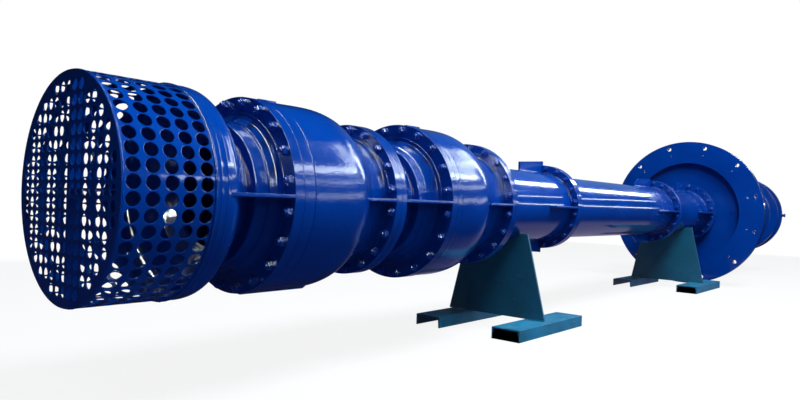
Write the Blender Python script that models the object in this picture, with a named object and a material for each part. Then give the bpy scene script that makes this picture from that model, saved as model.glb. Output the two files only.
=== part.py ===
"""Vertical turbine pump lying on two workshop trestles.

The pump axis runs along X, suction strainer at -X and discharge head at +X.
Z is up, the floor is z = 0 and the origin lies on the floor under the middle of the pump.
Stations below are distances in metres from the front of the strainer along the pump axis.
"""
import math

import bmesh
import bpy
from mathutils import Matrix, Vector

# overall
LENGTH = 9.739
AXIS_Z = 0.845
GAP = 0.0003
SEG = 24
HEAD_SEG = 40

# strainer
STRAINER_R = 0.435
STRAINER_WALL = 0.006
END_PLATE_T = 0.006
END_HOLE_PITCH = 0.0535
END_HOLE_R = 0.022
END_HOLE_FIELD_R = 0.3915
BASKET_START = 0.0063
BASKET_ROWS = 5
BASKET_ROW_PITCH = 0.0682
BASKET_HOLES_ROUND = 48
BASKET_PANELS = 12
BASKET_HOLE_R = 0.025
HOLE_SIDES = 6
STIFFENER_T = 0.008
STIFFENER_DEPTH = 0.050
SHOULDER_START = 0.3476
SHOULDER_OUTER = (
    (SHOULDER_START, 0.4350), (0.352, 0.4370), (0.405, 0.4370), (0.432, 0.4320),
    (0.455, 0.4190), (0.478, 0.3950), (0.530, 0.3260), (0.588, 0.2530),
)

# flanged joints: front of the first flange, joint plane, back of the second flange, radius
JOINT_1 = (0.711, 0.7615, 0.822, 0.4386)
JOINT_A = (1.383, 1.4225, 1.461, 0.391)
JOINT_C = (1.782, 1.8285, 1.875, 0.437)
JOINT_D = (2.471, 2.501, 2.531, 0.390)
JOINT_E = (3.518, 3.553, 3.588, 0.3216)
JOINT_F = (5.856, 5.891, 5.926, 0.320)
JOINT_G = (7.022, 7.0620, 7.1020, 0.336)

CAST_RIB_T = 0.016

# column pipes
PIPE_1_R = 0.262
PIPE_2_R = 0.245
PIPE_WALL = 0.012
GUSSET_T = 0.014

# gusset plates before joints E, F and G: length, length of the sloped tail,
# rise over the rim at the tail and at the head, reach over the rim
GUSSETS = (
    (0.330, 0.0, 0.0065, 0.0330, 0.022),
    (0.420, 0.090, 0.0030, 0.0180, 0.0),
    (0.300, 0.0, 0.0060, 0.0200, 0.0),
)

# discharge head
SOLE_R = 0.840
SOLE_OPENING_R = 0.586
SOLE_T = 0.070
SOLE_FRONT = 7.061
FOUNDATION_HOLES = 12
FOUNDATION_HOLE_R = 0.021
FOUNDATION_CIRCLE_R = 0.780
BASE_R = 0.650
BASE_T = 0.040
DRUM_R = 0.445
DRUM_WALL = 0.014
DRUM_END = 9.3957
STOOL_R = 0.540
STOOL_BODY_R = 0.500
STOOL_FLANGE_T = 0.062
STOOL_BASE_T = 0.040
SHAFT_R = 0.050
NOZZLE_STATION = 8.150
NOZZLE_R = 0.262
NOZZLE_WALL = 0.012
NOZZLE_FLANGE_R = 0.335
NOZZLE_FLANGE_T = 0.034
NOZZLE_FACE_Y = 0.800

# trestles: station, pipe radius, half width and drop of the saddle's shoulders, far foot's y
TRESTLES = (
    (2.917, PIPE_1_R, 0.246, 0.193, 0.270),
    (6.467, PIPE_2_R, 0.262, 0.170, 0.335),
)
NEAR_FOOT_Y = -0.345
SADDLE_T = 0.015
SADDLE_FOOT_HALF = 0.392
CHANNEL_W = 0.200
CHANNEL_H = 0.075
CHANNEL_WEB = 0.009
CHANNEL_LEG = 0.011
CHANNEL_BACK = 0.420
CHANNEL_FRONT = 0.450

BLUE = (0.0, 0.055, 0.32, 1.0)
TEAL = (0.008, 0.085, 0.16, 1.0)
STEEL = (0.42, 0.42, 0.41, 1.0)


def clear_scene():
    for item in list(bpy.data.objects):
        bpy.data.objects.remove(item, do_unlink=True)


def material_for(name, colour, roughness, metallic=0.0):
    mat = bpy.data.materials.new(name + "_finish")
    mat.use_nodes = True
    shader = mat.node_tree.nodes["Principled BSDF"]
    shader.inputs["Base Color"].default_value = colour
    shader.inputs["Roughness"].default_value = roughness
    shader.inputs["Metallic"].default_value = metallic
    return mat


def x_at(station):
    return station - LENGTH / 2


def finish_mesh(bm, name, colour=BLUE, roughness=0.25, metallic=0.0, smooth=True, sharp=32.0):
    """Turn a closed bmesh into an object with faces pointing out."""
    bmesh.ops.recalc_face_normals(bm, faces=bm.faces[:])
    if bm.calc_volume(signed=True) < 0:
        bmesh.ops.reverse_faces(bm, faces=bm.faces[:])
    for face in bm.faces:
        face.smooth = smooth
    limit = math.radians(sharp)
    for edge in bm.edges:
        if len(edge.link_faces) == 2:
            edge.smooth = edge.calc_face_angle(0.0) < limit
    mesh = bpy.data.meshes.new(name)
    bm.to_mesh(mesh)
    bm.free()
    obj = bpy.data.objects.new(name, mesh)
    bpy.context.scene.collection.objects.link(obj)
    mesh.materials.append(material_for(name, colour, roughness, metallic))
    return obj


def lathe_bmesh(profile, segments=SEG):
    """Spin a closed (station, radius) loop round the pump axis."""
    bm = bmesh.new()
    verts = [bm.verts.new((x_at(s), 0.0, AXIS_Z + r)) for s, r in profile]
    edges = [bm.edges.new((verts[i], verts[(i + 1) % len(verts)])) for i in range(len(verts))]
    bmesh.ops.spin(
        bm,
        geom=verts + edges,
        cent=(0.0, 0.0, AXIS_Z),
        axis=(1.0, 0.0, 0.0),
        angle=2 * math.pi,
        steps=segments,
        use_merge=True,
    )
    bmesh.ops.remove_doubles(bm, verts=bm.verts[:], dist=0.00001)
    return bm


def lathe(name, profile, segments=SEG, **look):
    return finish_mesh(lathe_bmesh(profile, segments), name, **look)


def prism(name, outline, start, depth, **look):
    """Extrude a flat (y, z) outline along X."""
    bm = bmesh.new()
    face = bm.faces.new([bm.verts.new((start, y, z)) for y, z in outline])
    extrude_by(bm, [face], (depth, 0.0, 0.0))
    return finish_mesh(bm, name, smooth=False, **look)


def extrude_by(bm, faces, step):
    grown = bmesh.ops.extrude_face_region(bm, geom=faces)
    moved = [g for g in grown["geom"] if isinstance(g, bmesh.types.BMVert)]
    bmesh.ops.translate(bm, verts=moved, vec=step)


def ring_points(count, radius, offset=0.0, centre=(0.0, 0.0)):
    points = []
    for i in range(count):
        a = offset + 2 * math.pi * i / count
        points.append((centre[0] + radius * math.cos(a), centre[1] + radius * math.sin(a)))
    return points


def drilled_disc(name, station, thickness, loops, **look):
    """Flat disc facing -X, bounded by the first loop and pierced by the others."""
    bm = bmesh.new()
    edges = []
    for loop in loops:
        verts = [bm.verts.new((x_at(station), y, AXIS_Z + z)) for y, z in loop]
        edges += [bm.edges.new((verts[i], verts[(i + 1) % len(verts)])) for i in range(len(verts))]
    bmesh.ops.triangle_fill(bm, use_beauty=True, use_dissolve=False, edges=edges, normal=(-1, 0, 0))
    extrude_by(bm, bm.faces[:], (thickness, 0.0, 0.0))
    return finish_mesh(bm, name, **look)


def polygon_scale(sides):
    """Corner radius, per unit of hole radius, that keeps the area of the round hole."""
    return math.sqrt(2 * math.pi / (sides * math.sin(2 * math.pi / sides)))


def strainer_end_plate():
    loops = [ring_points(48, STRAINER_R)]
    reach = int(END_HOLE_FIELD_R / END_HOLE_PITCH) + 1
    corner = END_HOLE_R * polygon_scale(HOLE_SIDES)
    for i in range(-reach, reach + 1):
        for j in range(-reach, reach + 1):
            y = i * END_HOLE_PITCH
            z = j * END_HOLE_PITCH
            if math.hypot(y, z) <= END_HOLE_FIELD_R:
                loops.append(ring_points(HOLE_SIDES, corner, math.pi / HOLE_SIDES, (y, z)))
    drilled_disc("strainer_end_plate", 0.0, END_PLATE_T, loops)


def strainer_stiffener():
    """Cross of two flat bars standing on edge behind the end plate."""
    half = STIFFENER_T / 2
    arm = STRAINER_R - STRAINER_WALL - 0.004
    z = AXIS_Z
    outline = [
        (-half, z - arm), (half, z - arm), (half, z - half), (arm, z - half),
        (arm, z + half), (half, z + half), (half, z + arm), (-half, z + arm),
        (-half, z + half), (-arm, z + half), (-arm, z - half), (-half, z - half),
    ]
    start = x_at(END_PLATE_T + GAP)
    prism("strainer_stiffener", outline, start, STIFFENER_DEPTH)


def basket_panel(number):
    """One panel of the perforated cylinder, made of repeated cells with a hole each."""
    bm = bmesh.new()
    radii = (STRAINER_R, STRAINER_R - STRAINER_WALL)
    columns = BASKET_HOLES_ROUND // BASKET_PANELS
    step = 2 * math.pi / BASKET_HOLES_ROUND
    first = (number - 1) * columns
    seam = GAP / 2 / STRAINER_R

    def place(radius, station, angle):
        y = -radius * math.cos(angle)
        z = AXIS_Z + radius * math.sin(angle)
        return bm.verts.new((x_at(station), y, z))

    grid = []
    for radius in radii:
        skin = []
        for k in range(columns + 1):
            angle = (first + k) * step
            angle += seam if k == 0 else 0.0
            angle -= seam if k == columns else 0.0
            stations = [BASKET_START + j * BASKET_ROW_PITCH for j in range(BASKET_ROWS + 1)]
            skin.append([place(radius, station, angle) for station in stations])
        grid.append(skin)

    corner = BASKET_HOLE_R * polygon_scale(HOLE_SIDES)
    turn = math.pi / HOLE_SIDES
    outline = ring_points(HOLE_SIDES, corner, turn)
    nearest = []
    for i in range(HOLE_SIDES):
        middle = (2 * turn * (i + 1) + 0.01) % (2 * math.pi)
        nearest.append(int(middle // (math.pi / 2)))
    for k in range(columns):
        for j in range(BASKET_ROWS):
            holes = []
            for skin, radius in zip(grid, radii):
                hole = []
                for u, v in outline:
                    station = BASKET_START + (j + 0.5) * BASKET_ROW_PITCH + u
                    hole.append(place(radius, station, (first + k + 0.5) * step + v / STRAINER_R))
                corners = (skin[k + 1][j + 1], skin[k + 1][j], skin[k][j], skin[k][j + 1])
                for i in range(HOLE_SIDES):
                    bm.faces.new((hole[i], hole[(i + 1) % HOLE_SIDES], corners[nearest[i]]))
                    if nearest[i - 1] != nearest[i]:
                        bm.faces.new((hole[i], corners[nearest[i]], corners[nearest[i - 1]]))
                holes.append(hole)
            for i in range(HOLE_SIDES):
                n = (i + 1) % HOLE_SIDES
                bm.faces.new((holes[0][i], holes[0][n], holes[1][n], holes[1][i]))
    outer, inner = grid
    for k in range(columns):
        for j in (0, BASKET_ROWS):
            bm.faces.new((outer[k][j], outer[k + 1][j], inner[k + 1][j], inner[k][j]))
    for j in range(BASKET_ROWS):
        for k in (0, columns):
            bm.faces.new((outer[k][j], outer[k][j + 1], inner[k][j + 1], inner[k][j]))
    finish_mesh(bm, "basket_panel_" + str(number))


def strainer_basket():
    for number in range(1, BASKET_PANELS + 1):
        basket_panel(number)


def shell_profile(outer, wall):
    """Closed loop for a sheet shell: outer points, then the same points moved inwards."""
    inner = []
    for i in range(len(outer)):
        a = Vector(outer[max(i - 1, 0)])
        b = Vector(outer[min(i + 1, len(outer) - 1)])
        along = (b - a).normalized()
        normal = Vector((along.y, -along.x))
        point = Vector(outer[i]) + normal * wall
        if i in (0, len(outer) - 1):
            point.x = outer[i][0]
        inner.append((point.x, point.y))
    return outer + inner[::-1]


def strainer_shoulder():
    """Plain band behind the perforated sheet and the dome that closes onto the bell."""
    lathe("strainer_shoulder", shell_profile(list(SHOULDER_OUTER), STRAINER_WALL))


def casting(name, profile, plates):
    """Hollow turned casting with cast-in plates, joined into one body."""
    body = lathe(name, profile)
    for number, (outline, thickness, turn) in enumerate(plates):
        plate = radial_plate(name + "_plate_" + str(number), outline, thickness, turn)
        join_solid(body, plate, "UNION")
    return body


def radial_plate(name, outline, thickness, turn_deg, **look):
    """Flat plate in a plane through the pump axis; outline is (station, radius) points."""
    bm = bmesh.new()
    verts = [bm.verts.new((x_at(s), -thickness / 2, AXIS_Z + r)) for s, r in outline]
    face = bm.faces.new(verts)
    extrude_by(bm, [face], (0.0, thickness, 0.0))
    centre = Vector((0.0, 0.0, AXIS_Z))
    turn = Matrix.Rotation(math.radians(turn_deg), 3, "X")
    bmesh.ops.rotate(bm, verts=bm.verts[:], cent=centre, matrix=turn)
    return finish_mesh(bm, name, smooth=False, **look)


def join_solid(body, other, operation):
    """Apply an exact Boolean to the mesh of body and drop the other object."""
    mod = body.modifiers.new(operation.lower(), "BOOLEAN")
    mod.operation = operation
    mod.solver = "EXACT"
    mod.object = other
    graph = bpy.context.evaluated_depsgraph_get()
    result = bpy.data.meshes.new_from_object(body.evaluated_get(graph))
    body.modifiers.clear()
    old = body.data
    name = old.name
    kept = old.materials[0]
    bpy.data.objects.remove(other, do_unlink=True)
    bm = bmesh.new()
    bm.from_mesh(result)
    bmesh.ops.remove_doubles(bm, verts=bm.verts[:], dist=0.00005)
    bmesh.ops.dissolve_degenerate(bm, edges=bm.edges[:], dist=0.00005)
    limit = math.radians(32.0)
    for face in bm.faces:
        face.smooth = True
        face.material_index = 0
    for edge in bm.edges:
        if len(edge.link_faces) == 2:
            edge.smooth = edge.calc_face_angle(0.0) < limit
    bm.to_mesh(result)
    bm.free()
    result.materials.clear()
    result.materials.append(kept)
    body.data = result
    bpy.data.meshes.remove(old)
    result.name = name


def suction_bell():
    front, joint, _, rim = JOINT_1
    neck = SHOULDER_OUTER[-1][1]
    lip = 0.6100
    start = SHOULDER_OUTER[-1][0] + GAP
    profile = [
        (start, neck), (lip, neck), (lip, 0.3110), (0.6690, 0.3150),
        (0.6720, 0.3220), (0.6980, 0.3400), (front, 0.3600), (front, rim),
        (joint - GAP, rim), (joint - GAP, 0.3300), (0.6700, 0.2700), (start, 0.2250),
    ]
    along_dome = [(s + 0.0015, r + 0.0010) for s, r in SHOULDER_OUTER[3:]][::-1]
    band_end, band_r = SHOULDER_OUTER[2]
    side = [(start + 0.0012, 0.2400)] + along_dome + [(band_end + 0.0050, band_r + 0.0007)]
    side += [(front + 0.0100, rim - 0.0010), (front + 0.0100, 0.3000)]
    casting("suction_bell", profile, [(side, CAST_RIB_T, 90), (side, CAST_RIB_T, -90)])


def bowl_ribs(start, front, rim):
    """Pair of side ribs that run from the bowl's shoulder to its outlet flange."""
    top = rim - 0.0005
    side = [(start, top), (front + 0.0100, top), (front + 0.0100, 0.2950), (start, 0.3400)]
    return [(side, CAST_RIB_T, 90), (side, CAST_RIB_T, -90)]


def cast_lug(start, length):
    """Low pad on the crown of a bowl, behind its inlet flange."""
    outline = [(start, 0.4300), (start, 0.4480), (start + length, 0.4480), (start + length, 0.4300)]
    return (outline, 0.030, 0)


def first_bowl():
    _, joint, back, rim = JOINT_1
    front_a, joint_a, _, rim_a = JOINT_A
    profile = [
        (joint, 0.3300), (joint, rim), (back, rim), (back, 0.4345), (1.0100, 0.4360),
        (1.0750, 0.4320), (1.1300, 0.4200), (1.1750, 0.4010), (1.2130, 0.3760),
        (1.2450, 0.3560), (1.3550, 0.3190), (front_a, 0.3330), (front_a, rim_a),
        (joint_a - GAP, rim_a), (joint_a - GAP, 0.2700), (1.2500, 0.3000),
        (1.1000, 0.3900), (0.8300, 0.4050),
    ]
    keel = [(joint, 0.4250), (joint, 0.4490), (1.1300, 0.4490), (1.1480, 0.4400), (1.1480, 0.3900)]
    plates = bowl_ribs(1.1780, front_a, rim_a) + [(keel, 0.020, 180), cast_lug(0.8300, 0.1000)]
    casting("first_bowl", profile, plates)


def stage_inlet():
    _, joint, back, rim = JOINT_A
    front_c, joint_c, _, rim_c = JOINT_C
    profile = [
        (joint, 0.2700), (joint, rim), (back, rim), (back, 0.3840), (1.4800, 0.3780),
        (1.5000, 0.3620), (1.5300, 0.3350), (1.5800, 0.2960), (1.6350, 0.2560),
        (1.6600, 0.2560), (1.6600, 0.3060), (1.7120, 0.3100), (1.7150, 0.3160),
        (1.7580, 0.3280), (front_c, 0.3460), (front_c, rim_c),
        (joint_c - GAP, rim_c), (joint_c - GAP, 0.3300), (1.7300, 0.2800),
        (1.6450, 0.2350), (1.5900, 0.2400), (1.5000, 0.2650),
    ]
    side = [
        (back - 0.0100, 0.3700), (back - 0.0100, rim - 0.0010), (front_c + 0.0100, rim_c - 0.0010),
        (front_c + 0.0100, 0.3400), (1.6450, 0.2450), (1.6000, 0.2700),
    ]
    casting("stage_inlet", profile, [(side, CAST_RIB_T, 90), (side, CAST_RIB_T, -90)])


def second_bowl():
    _, joint, back, rim = JOINT_C
    front_d, joint_d, _, rim_d = JOINT_D
    profile = [
        (joint, 0.3300), (joint, rim), (back, rim), (back, 0.4330), (2.0450, 0.4345),
        (2.1050, 0.4300), (2.1550, 0.4180), (2.1950, 0.3990), (2.2300, 0.3740),
        (2.2600, 0.3550), (2.4430, 0.3150), (front_d, 0.3300), (front_d, rim_d),
        (joint_d - GAP, rim_d), (joint_d - GAP, 0.2500), (2.3300, 0.2900),
        (2.1500, 0.3900), (1.8900, 0.4050),
    ]
    plates = bowl_ribs(2.2280, front_d, rim_d) + [cast_lug(1.8850, 0.1150)]
    casting("second_bowl", profile, plates)


def column_pipe(number, first, last, radius, collar=0.0):
    """Flanged column pipe; an optional collar steps the pipe up behind the first flange."""
    _, joint_a, back_a, rim_a = first
    front_b, joint_b, _, rim_b = last
    bore = radius - PIPE_WALL
    profile = [(joint_a, bore), (joint_a, rim_a), (back_a, rim_a)]
    if collar > 0.0:
        profile += [(back_a, radius + 0.026), (back_a + collar, radius + 0.022)]
        profile += [(back_a + collar + 0.020, radius)]
    else:
        profile += [(back_a, radius + 0.008), (back_a + 0.009, radius)]
    profile += [(front_b - 0.009, radius), (front_b, radius + 0.008)]
    profile += [(front_b, rim_b), (joint_b - GAP, rim_b), (joint_b - GAP, bore)]
    lathe("column_pipe_" + str(number), profile)


def column_gussets(number, last, radius):
    """Four plates before a joint; those at the top and bottom rise past the rim."""
    front, _, _, rim = last
    length, slope, tail_rise, head_rise, overhang = GUSSETS[number - 1]
    low = radius + GAP
    end = front - GAP
    foot = 0.0120
    flush = -0.0005
    for side, turn in (("top", 0), ("near", 90), ("bottom", 180), ("far", -90)):
        outline = [(end - length, low), (end - foot, low), (end, low + foot)]
        if side in ("near", "far"):
            outline += [(end, rim + flush), (end - length + slope, rim + flush)]
        else:
            if overhang > 0.0:
                outline += [(end, rim + GAP), (end + overhang, rim + GAP)]
            outline += [(end + overhang, rim + head_rise), (end - length + slope, rim + tail_rise)]
        if slope > 0.0:
            outline.append((end - length, low + foot))
        name = "column_gusset_" + str(number) + "_" + side
        radial_plate(name, outline, GUSSET_T, turn)


def soleplate():
    loops = [ring_points(56, SOLE_R), ring_points(HEAD_SEG, SOLE_OPENING_R)]
    for i in range(FOUNDATION_HOLES):
        a = math.radians(15 + 360 * i / FOUNDATION_HOLES)
        centre = (FOUNDATION_CIRCLE_R * math.cos(a), FOUNDATION_CIRCLE_R * math.sin(a))
        loops.append(ring_points(8, FOUNDATION_HOLE_R, 0.0, centre))
    drilled_disc("soleplate", SOLE_FRONT, SOLE_T, loops)


def head_base_plate():
    _, joint, back, rim = JOINT_G
    front = SOLE_FRONT + SOLE_T + GAP
    bore = PIPE_2_R - PIPE_WALL
    profile = [
        (joint, bore), (joint, rim), (back, rim), (back, 0.2950), (front, 0.2950),
        (front, BASE_R), (front + BASE_T, BASE_R), (front + BASE_T, bore),
    ]
    lathe("head_base_plate", profile, HEAD_SEG)


def turned_solid(name, profile, axis, station, segments=SEG, **look):
    """Solid turned round the pump axis ('x') or a line along Y; the profile ends are its centres."""
    bm = bmesh.new()
    rings = []
    for along, radius in profile:
        if radius == 0.0:
            circle = [(0.0, 0.0)]
        else:
            circle = ring_points(segments, radius)
        ring = []
        for a, b in circle:
            if axis == "x":
                ring.append(bm.verts.new((x_at(along), a, AXIS_Z + b)))
            else:
                ring.append(bm.verts.new((x_at(station) + a, along, AXIS_Z + b)))
        rings.append(ring)
    for ring, following in zip(rings, rings[1:]):
        for i in range(segments):
            n = (i + 1) % segments
            if len(ring) == 1:
                bm.faces.new((ring[0], following[i], following[n]))
            elif len(following) == 1:
                bm.faces.new((ring[i], ring[n], following[0]))
            else:
                bm.faces.new((ring[i], ring[n], following[n], following[i]))
    return finish_mesh(bm, name, **look)


def head_drum():
    """Head drum with its discharge nozzle and flange, joined and bored through."""
    start = SOLE_FRONT + SOLE_T + GAP + BASE_T + GAP
    inner = DRUM_R - DRUM_WALL
    profile = [
        (start, inner), (start, DRUM_R), (DRUM_END, DRUM_R), (DRUM_END, 0.1100),
        (DRUM_END - 0.0250, 0.1100), (DRUM_END - 0.0250, inner),
    ]
    body = lathe("head_drum", profile, HEAD_SEG)
    face = NOZZLE_FACE_Y
    neck = [
        (0.3800, 0.0), (0.3800, NOZZLE_R), (face - NOZZLE_FLANGE_T, NOZZLE_R),
        (face - NOZZLE_FLANGE_T, NOZZLE_FLANGE_R), (face, NOZZLE_FLANGE_R), (face, 0.0),
    ]
    outside = turned_solid("nozzle_outside", neck, "y", NOZZLE_STATION)
    join_solid(body, outside, "UNION")
    bore_r = NOZZLE_R - NOZZLE_WALL
    bore = [(0.3000, 0.0), (0.3000, bore_r), (face + 0.0500, bore_r), (face + 0.0500, 0.0)]
    inside = turned_solid("nozzle_bore", bore, "y", NOZZLE_STATION)
    join_solid(body, inside, "DIFFERENCE")


def driver_stool():
    """Flanged ring on the drum that carries the driver."""
    start = DRUM_END + GAP
    base = start + STOOL_BASE_T
    flange = LENGTH - STOOL_FLANGE_T
    inner = STOOL_BODY_R - 0.0300
    profile = [
        (start, 0.2000), (start, STOOL_R), (base, STOOL_R), (base, STOOL_BODY_R),
        (flange, STOOL_BODY_R), (flange, STOOL_R), (LENGTH, STOOL_R), (LENGTH, 0.4200),
        (flange, inner), (base, inner), (base, 0.2000),
    ]
    lathe("driver_stool", profile, HEAD_SEG)


def stuffing_box():
    """Shaft seal housing with the pump shaft end standing out of it."""
    start = DRUM_END + GAP
    profile = [
        (start - 0.1200, 0.0), (start - 0.1200, 0.1090), (start, 0.1090), (start, 0.1700),
        (start + 0.0300, 0.1700), (start + 0.0300, 0.1150), (start + 0.1200, 0.1150),
        (start + 0.1200, 0.1450), (start + 0.1400, 0.1450), (start + 0.1400, SHAFT_R),
        (start + 0.3000, SHAFT_R), (start + 0.3000, 0.0),
    ]
    turned_solid("stuffing_box", profile, "x", 0.0, 24, colour=STEEL, roughness=0.35, metallic=1.0)


def lifting_boss():
    """Short headed lifting pin on the near side of the stool's end flange."""
    root = -STOOL_R - GAP
    profile = [
        (root, 0.0), (root, 0.0200), (root - 0.0300, 0.0200), (root - 0.0300, 0.0270),
        (root - 0.0400, 0.0270), (root - 0.0400, 0.0),
    ]
    turned_solid("lifting_boss", profile, "y", LENGTH - STOOL_FLANGE_T / 2, 16)


def trestle(number, station, pipe_r, top_half, top_drop, far_y):
    """Saddle plate with a round cradle, standing on two inverted channels."""
    x = x_at(station)
    base = CHANNEL_H + GAP
    top = AXIS_Z - top_drop
    steps = 14
    cradle_r = (pipe_r + GAP) / math.cos(math.pi / 60)
    reach = math.acos(top_drop / cradle_r)
    outline = [(-SADDLE_FOOT_HALF, base), (SADDLE_FOOT_HALF, base), (top_half, top)]
    for i in range(steps + 1):
        a = reach - 2 * reach * i / steps
        outline.append((cradle_r * math.sin(a), AXIS_Z - cradle_r * math.cos(a)))
    outline.append((-top_half, top))
    name = "trestle_" + str(number)
    look = {"colour": TEAL, "roughness": 0.4}
    prism(name + "_saddle", outline, x - SADDLE_T / 2, SADDLE_T, **look)
    for side, y in (("near", NEAR_FOOT_Y), ("far", far_y)):
        w = CHANNEL_W / 2
        inner = w - CHANNEL_LEG
        under = CHANNEL_H - CHANNEL_WEB
        section = [
            (y - w, 0.0), (y - inner, 0.0), (y - inner, under), (y + inner, under),
            (y + inner, 0.0), (y + w, 0.0), (y + w, CHANNEL_H), (y - w, CHANNEL_H),
        ]
        length = CHANNEL_BACK + CHANNEL_FRONT
        prism(name + "_foot_" + side, section, x - CHANNEL_BACK, length, **look)


def build():
    clear_scene()
    strainer_end_plate()
    strainer_stiffener()
    strainer_basket()
    strainer_shoulder()
    suction_bell()
    first_bowl()
    stage_inlet()
    second_bowl()
    column_pipe(1, JOINT_D, JOINT_E, PIPE_1_R)
    column_pipe(2, JOINT_E, JOINT_F, PIPE_2_R, 0.060)
    column_pipe(3, JOINT_F, JOINT_G, PIPE_2_R, 0.060)
    column_gussets(1, JOINT_E, PIPE_1_R)
    column_gussets(2, JOINT_F, PIPE_2_R)
    column_gussets(3, JOINT_G, PIPE_2_R)
    soleplate()
    head_base_plate()
    head_drum()
    driver_stool()
    stuffing_box()
    lifting_boss()
    for number, sizes in enumerate(TRESTLES, 1):
        trestle(number, *sizes)


build()
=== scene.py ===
# Finish of a vertical turbine pump that lies on two workshop trestles.
# Stations are distances in metres from the front of the strainer along the pump axis.
import math
import random

import bmesh
import bpy
from mathutils import Matrix, Vector, noise


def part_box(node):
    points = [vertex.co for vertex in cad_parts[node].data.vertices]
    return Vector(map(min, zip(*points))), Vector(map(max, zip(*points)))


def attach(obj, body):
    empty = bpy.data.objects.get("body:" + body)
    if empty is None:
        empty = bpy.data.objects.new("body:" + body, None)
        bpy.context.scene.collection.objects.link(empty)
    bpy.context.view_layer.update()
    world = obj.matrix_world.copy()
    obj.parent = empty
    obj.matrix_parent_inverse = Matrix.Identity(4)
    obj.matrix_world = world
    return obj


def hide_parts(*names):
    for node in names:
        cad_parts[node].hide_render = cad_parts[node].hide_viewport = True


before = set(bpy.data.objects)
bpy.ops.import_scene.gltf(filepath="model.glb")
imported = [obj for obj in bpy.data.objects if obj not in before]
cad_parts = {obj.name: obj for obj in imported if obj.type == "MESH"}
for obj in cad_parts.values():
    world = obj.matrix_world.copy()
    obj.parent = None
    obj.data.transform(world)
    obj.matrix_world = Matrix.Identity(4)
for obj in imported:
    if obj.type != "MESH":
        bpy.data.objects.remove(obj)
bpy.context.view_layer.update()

FRONT_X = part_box("strainer_end_plate")[0].x
AXIS_Z = (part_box("strainer_end_plate")[0].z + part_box("strainer_end_plate")[1].z) / 2
END_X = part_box("driver_stool")[1].x
LENGTH = END_X - FRONT_X
FULL_TURN = 2 * math.pi

SEGMENTS = 144
HOLE_SEGMENTS = 24
ARC_STEP = math.radians(22)
EDGE = 0.0022

# strainer
STRAINER_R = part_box("strainer_end_plate")[1].y
SHEET_T = 0.006
PLATE_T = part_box("strainer_end_plate")[1].x - FRONT_X
END_HOLE_R = 0.022
END_HOLE_PITCH = 0.0535
END_HOLE_FIELD_R = 0.3915
BASKET_START = 0.0063
BASKET_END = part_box("basket_panel_1")[1].x - FRONT_X
BASKET_ROWS = 5
BASKET_COLUMNS = 48
BASKET_HOLE_R = 0.0255
PUNCH_EDGE = 0.0020
SHOULDER_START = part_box("strainer_shoulder")[0].x - FRONT_X
SHOULDER_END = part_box("strainer_shoulder")[1].x - FRONT_X
BAND_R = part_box("strainer_shoulder")[1].y
BELL_NECK_R = 0.253

# flanged joints: front of the first flange, joint plane, back of the second flange, radius
JOINT_1 = (0.711, 0.7615, 0.822, 0.4386)
JOINT_A = (1.383, 1.4225, 1.461, 0.391)
JOINT_C = (1.782, 1.8285, 1.875, 0.437)
JOINT_D = (2.471, 2.501, 2.531, 0.390)
JOINT_E = (3.518, 3.553, 3.588, 0.3216)
JOINT_F = (5.856, 5.891, 5.926, 0.320)
JOINT_G = (7.022, 7.062, 7.102, 0.336)
GAP = 0.0003
RIB_T = 0.016

# column
PIPE_1_R = 0.262
PIPE_2_R = 0.245
PIPE_WALL = 0.012
GUSSET_T = 0.014
# length, length of the sloped tail, rise over the rim at the tail and at the head, reach over the rim
GUSSETS = (
    (0.330, 0.0, 0.0065, 0.0330, 0.022),
    (0.420, 0.090, 0.0030, 0.0180, 0.0),
    (0.300, 0.0, 0.0060, 0.0200, 0.0),
)

# discharge head
SOLE_R = 0.840
SOLE_OPENING_R = 0.586
SOLE_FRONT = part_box("soleplate")[0].x - FRONT_X
SOLE_T = 0.070
FOUNDATION_CIRCLE_R = 0.780
FOUNDATION_HOLE_R = 0.022
JACK_CIRCLE_R = 0.695
JACK_HOLE_R = 0.0095
BASE_R = 0.650
BASE_T = 0.040
DRUM_R = 0.445
DRUM_WALL = 0.014
DRUM_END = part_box("head_drum")[1].x - FRONT_X
NOZZLE_STATION = 8.150
NOZZLE_R = 0.262
NOZZLE_WALL = 0.012
NOZZLE_FLANGE_R = 0.335
NOZZLE_FLANGE_T = 0.034
NOZZLE_FACE_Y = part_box("head_drum")[1].y
STOOL_R = 0.540
STOOL_BODY_R = 0.500
STOOL_FLANGE_T = 0.062
STOOL_BASE_T = 0.040

# trestles
SADDLE_T = 0.015
CHANNEL_W = 0.200
CHANNEL_H = 0.075
CHANNEL_WEB = 0.009
CHANNEL_LEG = 0.011

M24 = {"flats": 0.036, "height": 0.0215, "bolt": 0.024, "washer": 0.044, "proud": 0.010}
M20 = {"flats": 0.030, "height": 0.0180, "bolt": 0.020, "washer": 0.037, "proud": 0.009}
M16 = {"flats": 0.024, "height": 0.0140, "bolt": 0.016, "washer": 0.030, "proud": 0.007}

BLUE = (0.0, 0.050, 0.345, 1.0)
DEEP_BLUE = (0.0, 0.037, 0.270, 1.0)
BLUE_DUST = (0.010, 0.095, 0.340, 1.0)
TEAL_DARK = (0.002, 0.088, 0.155, 1.0)
TEAL = (0.003, 0.115, 0.205, 1.0)
TEAL_LIGHT = (0.003, 0.205, 0.390, 1.0)
SCUFF = (0.22, 0.36, 0.46, 1.0)
RUST = (0.110, 0.045, 0.020, 1.0)
STEEL = (0.42, 0.42, 0.41, 1.0)
FLOOR = (0.86, 0.86, 0.86, 1.0)
LAMP_TINT = (0.80, 0.94, 1.0)


# materials
def new_material(name):
    mat = bpy.data.materials.new(name)
    mat.use_nodes = True
    tree = mat.node_tree
    return mat, tree, tree.nodes["Principled BSDF"]


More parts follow.
